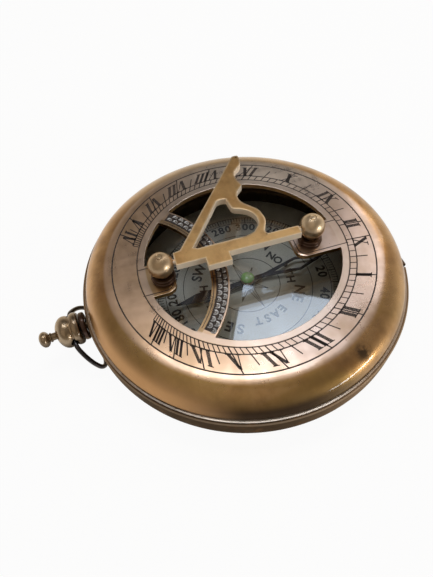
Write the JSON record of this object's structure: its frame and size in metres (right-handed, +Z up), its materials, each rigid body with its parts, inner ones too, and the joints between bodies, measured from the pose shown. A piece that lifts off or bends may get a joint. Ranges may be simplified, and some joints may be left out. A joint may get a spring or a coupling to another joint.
{
  "type": "sundial compass",
  "caption": "Round brass pocket compass whose hinged lid is an hour ring with a folding gnomon on ball posts; a push button opens the lid.",
  "frame": {"origin": "centre of the flat underside", "axes": "+Z up through the lid, +Y towards the lid hinge"},
  "size_m": [0.076, 0.0869, 0.0217],
  "materials": {
    "aged_brass": "aged, worn bright at the edges",
    "pale_brass": "polished",
    "dark_brass": "dark patina",
    "steel": "satin",
    "silvered": "matt silvered, black printing",
    "black_steel": "black, satin",
    "green_jewel": "gloss",
    "glass": "clear, flat"
  },
  "bodies": {
    "base": {"base_shell": "aged_brass", "hinge_knuckle_left": "dark_brass", "hinge_knuckle_right": "dark_brass", "hinge_pin": "steel", "pendant_collar": "dark_brass", "pendant": "aged_brass", "catch_spring_pillar": "aged_brass", "catch_spring_screw": "steel", "lift_spring": "steel", "lift_spring_pillar": "aged_brass", "lift_spring_screw": "steel", "capsule_ring": "aged_brass", "dial_plate": "silvered", "pivot_post": "pale_brass", "cover_glass": "glass", "glass_retainer": "aged_brass"},
    "lid": {"lid_shell": "aged_brass", "hinge_knuckle_lid": "dark_brass", "lid_catch": "steel", "gnomon_post_hinge": "pale_brass", "gnomon_post_crown": "pale_brass", "post_washer_hinge": "dark_brass", "post_washer_crown": "dark_brass"},
    "gnomon": {"gnomon": "pale_brass"},
    "button": {"push_button": "pale_brass"},
    "catch": {"catch_spring": "steel"},
    "bow": {"bow": "black_steel"},
    "needle": {"needle": "black_steel", "needle_hub": "pale_brass", "needle_jewel": "green_jewel"}
  },
  "joints": [
    {"name": "lid_hinge", "type": "hinge", "parent": "base", "child": "lid", "pos_m": [0, 0.035, 0.00975], "axis": [-1, 0, 0], "range_deg": [0, 90]},
    {"name": "gnomon_fold", "type": "hinge", "parent": "lid", "child": "gnomon", "pos_m": [0.0013, 0, 0.019], "axis": [0, 1, 0], "range_deg": [0, 90]},
    {"name": "button_push", "type": "slide", "parent": "base", "child": "button", "axis": [-0.0976, 0.9952, 0], "range_m": [0, 0.0013], "stiffness_N_per_m": 1000},
    {"name": "catch_release", "type": "hinge", "parent": "base", "child": "catch", "pos_m": [0.03048, -0.01415, 0.0058], "axis": [0, 0, -1], "range_deg": [0, 2.7]},
    {"name": "bow_swing", "type": "hinge", "parent": "base", "child": "bow", "pos_m": [0.00406, -0.04145, 0.0079], "axis": [0.9952, 0.0976, 0], "range_deg": [-195, 0]},
    {"name": "needle_spin", "type": "hinge", "parent": "base", "child": "needle", "pos_m": [0.0006, 0.0012, 0.0033], "axis": [0, 0, 1], "continuous": true}
  ],
  "couplings": [
    {"joint": "catch_release", "follows": "button_push", "rad_per_m": 34.541}
  ]
}
